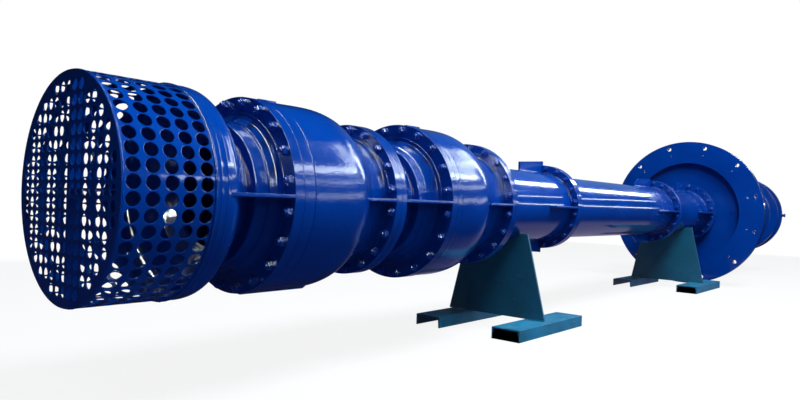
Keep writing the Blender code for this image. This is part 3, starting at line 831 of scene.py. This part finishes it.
def gusset_set(number, last, radius):
    """Four plates before a joint, with a fillet weld on each side of each foot."""
    front, _, _, rim = last
    length, slope, tail_rise, head_rise, overhang = GUSSETS[number - 1]
    low = radius - 0.002
    end = front - GAP
    corner = 0.012
    flush = -0.0010
    welds = []
    for side, turn in (("top", 0), ("near", 90), ("bottom", 180), ("far", -90)):
        outline = [(end - length, low), (end - corner, low), (end, low + corner)]
        if side in ("near", "far"):
            outline += [(end, rim + flush), (end - length + slope, rim + flush)]
        else:
            if overhang > 0.0:
                outline += [(end, rim + GAP), (end + overhang, rim + GAP)]
            outline += [(end + overhang, rim + head_rise), (end - length + slope, rim + tail_rise)]
        if slope > 0.0:
            outline.append((end - length, low + 0.020))
        name = "_".join(("column_gusset", str(number), side))
        plate = "_".join(("gusset_plate", str(number), side))
        finish_piece(radial_plate(outline, GUSSET_T, turn, 0.0016), plate, SMOOTH, [name])
        for hand in (-1, 1):
            across = hand * (GUSSET_T / 2 + 0.0010)
            welds.append(radial_line(end - length + 0.004, end - corner, radius + 0.0010, turn, across))
    weld_path(welds, "gusset_weld_" + str(number), 0.0042, WELD, 0.16, 0.009)


# fasteners
def hex_nut(size, height):
    """Hexagon with rounded corners on the face turned away from the flange."""
    bm = bmesh.new()
    radius = size["flats"] / 2 / math.cos(math.pi / 6)
    bmesh.ops.create_cone(bm, cap_ends=True, segments=6, radius1=radius, radius2=radius, depth=height)
    top = [e for e in bm.edges if all(v.co.z > 0.0 for v in e.verts)]
    bmesh.ops.bevel(
        bm, geom=top, offset=height * 0.12, affect="EDGES", segments=1, profile=0.5, material=-1,
    )
    bmesh.ops.translate(bm, verts=bm.verts[:], vec=(0.0, 0.0, height / 2))
    return bm


def add_cylinder(bm, radius, low, high, sides, chamfer):
    made = bmesh.ops.create_cone(
        bm, cap_ends=True, segments=sides, radius1=radius, radius2=radius, depth=high - low,
    )
    verts = made["verts"]
    bmesh.ops.translate(bm, verts=verts, vec=(0.0, 0.0, (high + low) / 2))
    top = [e for e in {e for v in verts for e in v.link_edges} if all(v.co.z > high - 1e-6 for v in e.verts)]
    bmesh.ops.bevel(bm, geom=top, offset=chamfer, affect="EDGES", segments=1, profile=0.5, material=-1)


def fastener(size, stud):
    """Washer and nut with a stud end, or a bolt head where there is no stud. It points along +Z."""
    washer_t = 0.003
    bm = hex_nut(size, size["height"] if stud else size["height"] * 0.72)
    bmesh.ops.translate(bm, verts=bm.verts[:], vec=(0.0, 0.0, washer_t))
    add_cylinder(bm, size["washer"] / 2, -0.0004, washer_t, 18, 0.0007)
    if stud:
        top = washer_t + size["height"]
        add_cylinder(bm, size["bolt"] / 2, top - 0.004, top + size["proud"], 14, 0.0018)
    return as_mesh(bm, "fastener")


def bolt_ring(bm, master, station, radius, count, direction, first_deg, seed):
    """Place fasteners on a circle, each turned a little differently."""
    draw = random.Random(seed)
    for i in range(count):
        a = math.radians(first_deg) + FULL_TURN * i / count
        place = Matrix.Translation((at(station), radius * math.cos(a), AXIS_Z + radius * math.sin(a)))
        face = Matrix.Rotation(math.radians(90 * direction), 4, "Y")
        spin = Matrix.Rotation(draw.uniform(0.0, math.pi / 3), 4, "Z")
        sink = Matrix.Translation((0.0, 0.0, -draw.uniform(0.0, 0.0012)))
        stamp(bm, master, place @ face @ spin @ sink)


def flange_fasteners():
    nut_24 = fastener(M24, True)
    head_24 = fastener(M24, False)
    nut_20 = fastener(M20, True)
    head_20 = fastener(M20, False)
    joints = (
        ("1", JOINT_1, 0.4100, nut_24, None),
        ("a", JOINT_A, 0.3640, nut_24, None),
        ("c", JOINT_C, 0.4085, nut_24, None),
        ("d", JOINT_D, 0.3640, nut_24, head_24),
        ("e", JOINT_E, 0.2970, nut_20, head_20),
        ("f", JOINT_F, 0.2930, nut_20, head_20),
        ("g", JOINT_G, 0.3080, nut_20, None),
    )
    for number, (name, joint, radius, nut, head) in enumerate(joints):
        bm = bmesh.new()
        bolt_ring(bm, nut, joint[0], radius, 20, -1, 9.0, 10 + number)
        if head is not None:
            bolt_ring(bm, head, joint[2], radius, 20, 1, 9.0, 30 + number)
        finish_piece(bm, "joint_" + name + "_fasteners", BOLTS, sharp=25.0)


# discharge head
def sole_plate():
    loops = [circle(SEGMENTS, SOLE_R), circle(SEGMENTS, SOLE_OPENING_R)]
    for circle_r, hole_r in ((FOUNDATION_CIRCLE_R, FOUNDATION_HOLE_R), (JACK_CIRCLE_R, JACK_HOLE_R)):
        for y, z in circle(12, circle_r, (0.0, 0.0), math.radians(15)):
            loops.append(circle(HOLE_SEGMENTS, hole_r, (y, z)))
    bm = pierced_plate(SOLE_FRONT, SOLE_T, loops, 0.002)
    finish_piece(bm, "round_soleplate", SMOOTH, ["soleplate"])


def head_base():
    """Base plate of the head behind the soleplate, with the last column flange on it."""
    _, joint, back, rim = JOINT_G
    front = SOLE_FRONT + SOLE_T + GAP
    bore = PIPE_2_R - PIPE_WALL
    outline = [
        (joint, bore), (joint, rim, EDGE), (back, rim, EDGE), (back, 0.2950, 0.004), (front, 0.2950, 0.010),
        (front, BASE_R, 0.002), (front + BASE_T, BASE_R, 0.002), (front + BASE_T, bore),
    ]
    bm = turn_profile(rounded(outline))
    on_pump(bm)
    bmesh.ops.recalc_face_normals(bm, faces=bm.faces[:])
    base = bpy.data.objects.new("base_work", as_mesh(bm, "base_work"))
    bpy.context.scene.collection.objects.link(base)
    tapping = [(-0.0100, 0.0), (-0.0100, 0.0140), (0.0, 0.0120), (0.0030, 0.0095), (0.0280, 0.0095), (0.0280, 0.0)]
    place = Matrix.Translation((at(front), -0.4850, AXIS_Z))
    combine(base, solid_of(tapping, 24, place, "tapping"), "DIFFERENCE")
    finish_piece(take_mesh(base), "head_base", SMOOTH, ["head_base_plate"], 30.0)
    bm = bmesh.new()
    bolt_ring(bm, fastener(M24, True), front + BASE_T, 0.6180, 24, 1, 7.5, 51)
    finish_piece(bm, "base_fasteners", BOLTS, sharp=25.0)


def solid_of(outline, segments, matrix, name):
    """Closed turned solid as an object, for cutting and joining."""
    bm = turn_profile(outline, segments, False)
    bmesh.ops.transform(bm, matrix=matrix, verts=bm.verts[:])
    bmesh.ops.recalc_face_normals(bm, faces=bm.faces[:])
    obj = bpy.data.objects.new(name, as_mesh(bm, name))
    bpy.context.scene.collection.objects.link(obj)
    return obj


def combine(body, tool, operation):
    mod = body.modifiers.new("combine", "BOOLEAN")
    mod.operation = operation
    mod.solver = "EXACT"
    mod.object = tool
    bpy.context.view_layer.update()
    graph = bpy.context.evaluated_depsgraph_get()
    mesh = bpy.data.meshes.new_from_object(body.evaluated_get(graph))
    body.modifiers.clear()
    body.data = mesh
    bpy.data.objects.remove(tool)


def take_mesh(obj):
    """The bmesh of a working object, which is then dropped."""
    bm = bmesh.new()
    bm.from_mesh(obj.data)
    bpy.data.objects.remove(obj)
    bmesh.ops.remove_doubles(bm, verts=bm.verts[:], dist=0.00002)
    return bm


def drum_and_nozzle():
    """Head drum, its side outlet with a drilled flange, and their welds."""
    start = SOLE_FRONT + SOLE_T + BASE_T + 2 * GAP
    inner = DRUM_R - DRUM_WALL
    outline = [
        (start, inner), (start, DRUM_R), (DRUM_END, DRUM_R), (DRUM_END, 0.1100),
        (DRUM_END - 0.0250, 0.1100), (DRUM_END - 0.0250, inner),
    ]
    bm = turn_profile(rounded(outline))
    on_pump(bm)
    bmesh.ops.recalc_face_normals(bm, faces=bm.faces[:])
    drum = bpy.data.objects.new("drum_work", as_mesh(bm, "drum_work"))
    bpy.context.scene.collection.objects.link(drum)
    face = NOZZLE_FACE_Y
    to_side = Matrix.Translation((at(NOZZLE_STATION), 0.0, AXIS_Z)) @ Matrix.Rotation(math.pi / 2, 4, "Z")
    back = face - NOZZLE_FLANGE_T
    outside = [
        (0.3800, 0.0), (0.3800, NOZZLE_R), (back, NOZZLE_R, 0.004), (back, NOZZLE_FLANGE_R, 0.002),
        (face - 0.0020, NOZZLE_FLANGE_R, 0.002), (face - 0.0020, 0.2900, 0.001), (face, 0.2890, 0.001), (face, 0.0),
    ]
    combine(drum, solid_of(rounded(outside, False), 96, to_side, "outside"), "UNION")
    bore_r = NOZZLE_R - NOZZLE_WALL
    bore = [(0.3000, 0.0), (0.3000, bore_r), (face + 0.0500, bore_r), (face + 0.0500, 0.0)]
    combine(drum, solid_of(bore, 96, to_side, "bore"), "DIFFERENCE")
    for i in range(20):
        a = math.radians(9) + FULL_TURN * i / 20
        shift = Matrix.Translation((0.0, 0.3100 * math.cos(a), 0.3100 * math.sin(a)))
        hole = [(back - 0.02, 0.0), (back - 0.02, 0.013), (face + 0.02, 0.013), (face + 0.02, 0.0)]
        combine(drum, solid_of(hole, 20, to_side @ shift, "hole"), "DIFFERENCE")
    finish_piece(take_mesh(drum), "drum_with_outlet", SMOOTH, ["head_drum"], 30.0)
    saddle = []
    for y, z in circle(420, NOZZLE_R + 0.002):
        out = math.sqrt(DRUM_R ** 2 - z ** 2) + 0.0010
        saddle.append((at(NOZZLE_STATION) + y, out, AXIS_Z + z))
    rings = [(saddle, True), ring_path(start + 0.0030, DRUM_R + 0.0020), ring_path(DRUM_END - 0.0020, DRUM_R + 0.0020)]
    outlet = []
    for x, z in circle(420, NOZZLE_R + 0.002):
        outlet.append((at(NOZZLE_STATION) + x, back - 0.0030, AXIS_Z + z))
    rings.append((outlet, True))
    weld_path(rings, "head_welds", 0.0065, WELD, 0.16, 0.010)


def stool():
    """Flanged ring that carries the driver, its face drilled for the driver's bolts."""
    start = DRUM_END + GAP
    base = start + STOOL_BASE_T
    flange = LENGTH - STOOL_FLANGE_T
    inner = STOOL_BODY_R - 0.0300
    outline = [
        (start, 0.2000), (start, STOOL_R, 0.002), (base, STOOL_R, 0.002), (base, STOOL_BODY_R, 0.005),
        (flange, STOOL_BODY_R, 0.005), (flange, STOOL_R, 0.002), (LENGTH, STOOL_R, 0.002),
        (LENGTH, 0.4200, 0.002), (flange, inner), (base, inner), (base, 0.2000),
    ]
    bm = turn_profile(rounded(outline))
    on_pump(bm)
    bmesh.ops.recalc_face_normals(bm, faces=bm.faces[:])
    ring = bpy.data.objects.new("stool_work", as_mesh(bm, "stool_work"))
    bpy.context.scene.collection.objects.link(ring)
    for y, z in circle(16, 0.4950, (0.0, 0.0), math.radians(11.25)):
        depth = 0.045
        hole = [(LENGTH - depth, 0.0), (LENGTH - depth, 0.011), (LENGTH - 0.002, 0.011), (LENGTH + 0.001, 0.014)]
        hole += [(LENGTH + 0.010, 0.014), (LENGTH + 0.010, 0.0)]
        matrix = Matrix.Translation((FRONT_X, y, AXIS_Z + z))
        combine(ring, solid_of(hole, 20, matrix, "hole"), "DIFFERENCE")
    finish_piece(take_mesh(ring), "driver_ring", SMOOTH, ["driver_stool"], 30.0)
    weld_path([ring_path(base + 0.002, STOOL_BODY_R + 0.001), ring_path(flange - 0.002, STOOL_BODY_R + 0.001)],
              "stool_welds", 0.0060, WELD, 0.16, 0.010)


def shaft_seal():
    """Stuffing box with its gland ring, gland studs and the keyed shaft end."""
    low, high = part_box("stuffing_box")
    start = DRUM_END + GAP
    end = high.x - FRONT_X
    box_outline = [
        (start - 0.1200, 0.0600), (start - 0.1200, 0.1090, 0.002), (start, 0.1090), (start, 0.1700, 0.002),
        (start + 0.0300, 0.1700, 0.002), (start + 0.0300, 0.1150, 0.006), (start + 0.1000, 0.1150, 0.002),
        (start + 0.1000, 0.0600),
    ]
    turned("seal_housing", rounded(box_outline), SMOOTH, [], 96)
    gland = [
        (start + 0.1080, 0.0520), (start + 0.1080, 0.1450, 0.002), (start + 0.1300, 0.1450, 0.002),
        (start + 0.1300, 0.0700, 0.004), (start + 0.1400, 0.0680, 0.002), (start + 0.1400, 0.0520),
    ]
    turned("gland_ring", rounded(gland), BRIGHT, [], 96)
    shaft = [(start - 0.1180, 0.0), (start - 0.1180, 0.0500), (end, 0.0500, 0.003), (end, 0.0)]
    turned("shaft_end", rounded(shaft, False), BRIGHT, ["stuffing_box"], 96, False)
    key = [(end - 0.1200, 0.0420), (end - 0.1200, 0.0570), (end - 0.0150, 0.0570), (end - 0.0150, 0.0420)]
    finish_piece(radial_plate(key, 0.0280, 0, 0.0015), "shaft_key", BRIGHT)
    bm = bmesh.new()
    bolt_ring(bm, fastener(M16, True), start + 0.1300, 0.1280, 4, 1, 45.0, 61)
    bolt_ring(bm, fastener(M16, True), start + 0.0300, 0.1540, 8, 1, 22.5, 62)
    finish_piece(bm, "seal_fasteners", BRIGHT, sharp=25.0)


def lifting_pin():
    low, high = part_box("lifting_boss")
    root = high.y + 0.003
    tip = low.y
    outline = [
        (root, 0.0), (root, 0.0200), (tip + 0.0130, 0.0200, 0.004), (tip + 0.0100, 0.0268, 0.002),
        (tip, 0.0268, 0.003), (tip, 0.0),
    ]
    bm = turn_profile(rounded(outline, False), 40, False)
    middle = (low + high) / 2
    turn = Matrix.Translation((middle.x, 0.0, AXIS_Z)) @ Matrix.Rotation(math.pi / 2, 4, "Z")
    bmesh.ops.transform(bm, matrix=turn, verts=bm.verts[:])
    finish_piece(bm, "lifting_pin", SMOOTH, ["lifting_boss"])


# trestles
def saddle_plate(number, top_half, pipe_r):
    """Plate with a round cradle and softened, torch-cut edges."""
    node = "trestle_" + str(number) + "_saddle"
    low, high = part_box(node)
    cradle_r = pipe_r + 0.0006
    rise = high.z - AXIS_Z
    reach = math.acos(-rise / cradle_r)
    outline = [(low.y, low.z), (high.y, low.z), (top_half, high.z)]
    for i in range(33):
        a = reach - 2 * reach * i / 32
        outline.append((cradle_r * math.sin(a), AXIS_Z - cradle_r * math.cos(a)))
    outline.append((-top_half, high.z))
    bm = bmesh.new()
    face = bm.faces.new([bm.verts.new((low.x, y, z)) for y, z in outline])
    push_out(bm, [face], (high.x - low.x, 0.0, 0.0))
    soften(bm, 0.0016, 2, 30.0)
    finish_piece(bm, "saddle_" + str(number), SADDLE, [node])


def channel_foot(number, side):
    """Rolled channel lying legs down, with tapered legs and rounded roots and toes."""
    node = "trestle_" + str(number) + "_foot_" + side
    low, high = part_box(node)
    middle = (low.y + high.y) / 2
    half = CHANNEL_W / 2
    toe = CHANNEL_LEG - 0.0025
    root = CHANNEL_LEG + 0.0025
    under = CHANNEL_H - CHANNEL_WEB
    corners = [
        (-half, 0.0, 0.0006), (-half + toe, 0.0, 0.005), (-half + root, under, 0.010),
        (half - root, under, 0.010), (half - toe, 0.0, 0.005), (half, 0.0, 0.0006),
        (half, CHANNEL_H, 0.0015), (-half, CHANNEL_H, 0.0015),
    ]
    bm = bmesh.new()
    outline = rounded(corners)
    face = bm.faces.new([bm.verts.new((low.x, middle + y, z)) for y, z in outline])
    push_out(bm, [face], (high.x - low.x, 0.0, 0.0))
    soften(bm, 0.0008, 1, 60.0)
    finish_piece(bm, "channel_" + str(number) + "_" + side, CHANNEL, [node])


def saddle_welds(number):
    node = "trestle_" + str(number) + "_saddle"
    low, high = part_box(node)
    paths = []
    for side in ("near", "far"):
        foot_low, foot_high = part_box("trestle_" + str(number) + "_foot_" + side)
        near = max(low.y, foot_low.y) + 0.004
        far = min(high.y, foot_high.y) - 0.004
        for x in (low.x - 0.001, high.x + 0.001):
            paths.append(line_path((x, near, CHANNEL_H + 0.001), (x, far, CHANNEL_H + 0.001)))
    weld_path(paths, "saddle_weld_" + str(number), 0.0060, SADDLE, 0.18, 0.010)


# build
basket_sheet()
end_grating()
shoulder()
strainer_welds()
strainer_cross()
bell_casting()
first_stage_bowl()
second_stage_inlet()
second_stage_bowl()
column(1, JOINT_D, JOINT_E, PIPE_1_R)
column(2, JOINT_E, JOINT_F, PIPE_2_R, 0.060)
column(3, JOINT_F, JOINT_G, PIPE_2_R, 0.060)
gusset_set(1, JOINT_E, PIPE_1_R)
gusset_set(2, JOINT_F, PIPE_2_R)
gusset_set(3, JOINT_G, PIPE_2_R)
flange_fasteners()
sole_plate()
head_base()
drum_and_nozzle()
stool()
shaft_seal()
lifting_pin()
for trestle, half_top, pipe in ((1, 0.246, PIPE_1_R), (2, 0.262, PIPE_2_R)):
    saddle_plate(trestle, half_top, pipe)
    channel_foot(trestle, "near")
    channel_foot(trestle, "far")
    saddle_welds(trestle)


# stage, lights and camera
def floor():
    bm = bmesh.new()
    bmesh.ops.create_grid(bm, x_segments=8, y_segments=8, size=60.0)
    bmesh.ops.translate(bm, verts=bm.verts[:], vec=(0.0, 0.0, -0.0005))
    obj = bpy.data.objects.new("shop_floor", as_mesh(bm, "shop_floor"))
    obj.data.materials.append(floor_paint())
    bpy.context.scene.collection.objects.link(obj)


def place_light(name, size, power, middle, along, aim):
    """Rectangular lamp whose long side runs along the given direction and whose face looks at the aim."""
    light = bpy.data.lights.new(name, "AREA")
    light.shape = "RECTANGLE"
    light.size, light.size_y = size
    light.energy = power
    light.color = LAMP_TINT
    obj = bpy.data.objects.new(name, light)
    bpy.context.scene.collection.objects.link(obj)
    x_axis = along.normalized()
    to_aim = aim - middle
    z_axis = -(to_aim - x_axis * to_aim.dot(x_axis)).normalized()
    turn = Matrix((x_axis, z_axis.cross(x_axis), z_axis)).transposed().to_4x4()
    obj.matrix_world = Matrix.Translation(middle) @ turn
    return obj


def soft_lamp(name, place, aim_x, size, power):
    """Lamp that lights the paint but makes no glint."""
    along = Vector((1.0, 0.0, 0.0))
    lamp = place_light(name, size, power, Vector(place), along, Vector((aim_x, 0.0, AXIS_Z)))
    lamp.visible_glossy = False


def strip_light(name, start, end, width, radiance, aim_x=None):
    """Long lamp between two points that faces the pump axis and only makes glints."""
    start = Vector(start)
    end = Vector(end)
    middle = (start + end) / 2
    length = (end - start).length
    aim = Vector((middle.x if aim_x is None else aim_x, 0.0, AXIS_Z))
    lamp = place_light(name, (length, width), math.pi * radiance * length * width, middle, end - start, aim)
    lamp.visible_diffuse = False


def lights():
    soft_lamp("key_lamp_front", (-3.7, -3.0, 6.6), -3.2, (2.4, 2.4), 400.0)
    soft_lamp("key_lamp_rear", (-0.3, -3.0, 6.4), 0.4, (2.4, 2.4), 430.0)
    soft_lamp("side_lamp", (2.0, -7.5, 3.2), 1.0, (12.0, 2.0), 130.0)
    strip_light("window_row", (0.6, -6.0, 4.6), (11.0, -6.0, 6.9), 0.62, 18.0)
    strip_light("tall_window", (7.2, -5.0, 7.6), (9.5, -5.0, 7.6), 4.0, 9.0)
    strip_light("roof_window", (8.6, -1.6, 9.6), (11.0, -1.6, 9.6), 4.6, 8.0)
    strip_light("corner_row", (4.6, -6.0, 5.6), (4.6, -2.6, 9.4), 0.45, 18.0, -3.8)
    strip_light("thin_row", (-1.5, -6.0, 2.4), (30.0, -6.0, 8.1), 0.20, 13.0)
    strip_light("low_row", (0.4, -6.0, 1.08), (32.0, -6.0, 3.1), 0.22, 10.0)
    strip_light("roof_row", (9.0, -1.7, 7.8), (28.0, -1.7, 7.8), 1.6, 16.0)
    strip_light("end_row", (-7.5, -6.5, 3.0), (-7.5, 3.5, 7.5), 0.30, 130.0, -3.5)
    studio_world()
    bpy.context.scene.view_settings.view_transform = "Standard"


def studio_world():
    """White behind the pump, soft blue light on it, and dark in its gloss but for the far end."""
    world = bpy.data.worlds.new("studio")
    bpy.context.scene.world = world
    world.use_nodes = True
    tree = world.node_tree
    soft = tree.nodes["Background"]
    soft.inputs["Color"].default_value = (0.50, 0.62, 0.85, 1.0)
    soft.inputs["Strength"].default_value = 0.17
    white = tree.nodes.new("ShaderNodeBackground")
    white.inputs["Color"].default_value = (1.0, 1.0, 1.0, 1.0)
    mirrored = tree.nodes.new("ShaderNodeBackground")
    direction = tree.nodes.new("ShaderNodeTexCoord").outputs["Generated"]
    split = tree.nodes.new("ShaderNodeSeparateXYZ")
    tree.links.new(direction, split.inputs["Vector"])
    far_end = spread(tree, split.outputs["X"], 0.70, 0.90)
    far_side = spread(tree, split.outputs["Y"], -0.15, 0.15)
    gloss_bright_share = maths(tree, "MULTIPLY", far_end, far_side)
    colour = blend_colour(tree, gloss_bright_share, (0.004, 0.010, 0.030, 1.0), (0.12, 0.21, 0.38, 1.0))
    tree.links.new(colour, mirrored.inputs["Color"])
    path = tree.nodes.new("ShaderNodeLightPath")
    others = mix_shader(tree, path.outputs["Is Glossy Ray"], soft.outputs["Background"], mirrored.outputs["Background"])
    whole = mix_shader(tree, path.outputs["Is Camera Ray"], others, white.outputs["Background"])
    tree.links.new(whole, tree.nodes["World Output"].inputs["Surface"])


def camera():
    data = bpy.data.cameras.new("camera")
    data.sensor_width = 36.0
    data.lens = 28.76
    data.shift_x = 0.00232
    data.shift_y = 0.00435
    data.clip_end = 200.0
    obj = bpy.data.objects.new("camera", data)
    bpy.context.scene.collection.objects.link(obj)
    right = Vector((0.65686913, -0.75336512, 0.03104742))
    up = Vector((-0.02220783, 0.02182836, 0.99951505))
    back = right.cross(up)
    turn = Matrix((right, up, back)).transposed().to_4x4()
    obj.matrix_world = Matrix.Translation((-5.82324, -2.43795, 0.82351)) @ turn
    bpy.context.scene.camera = obj


floor()
lights()
camera()
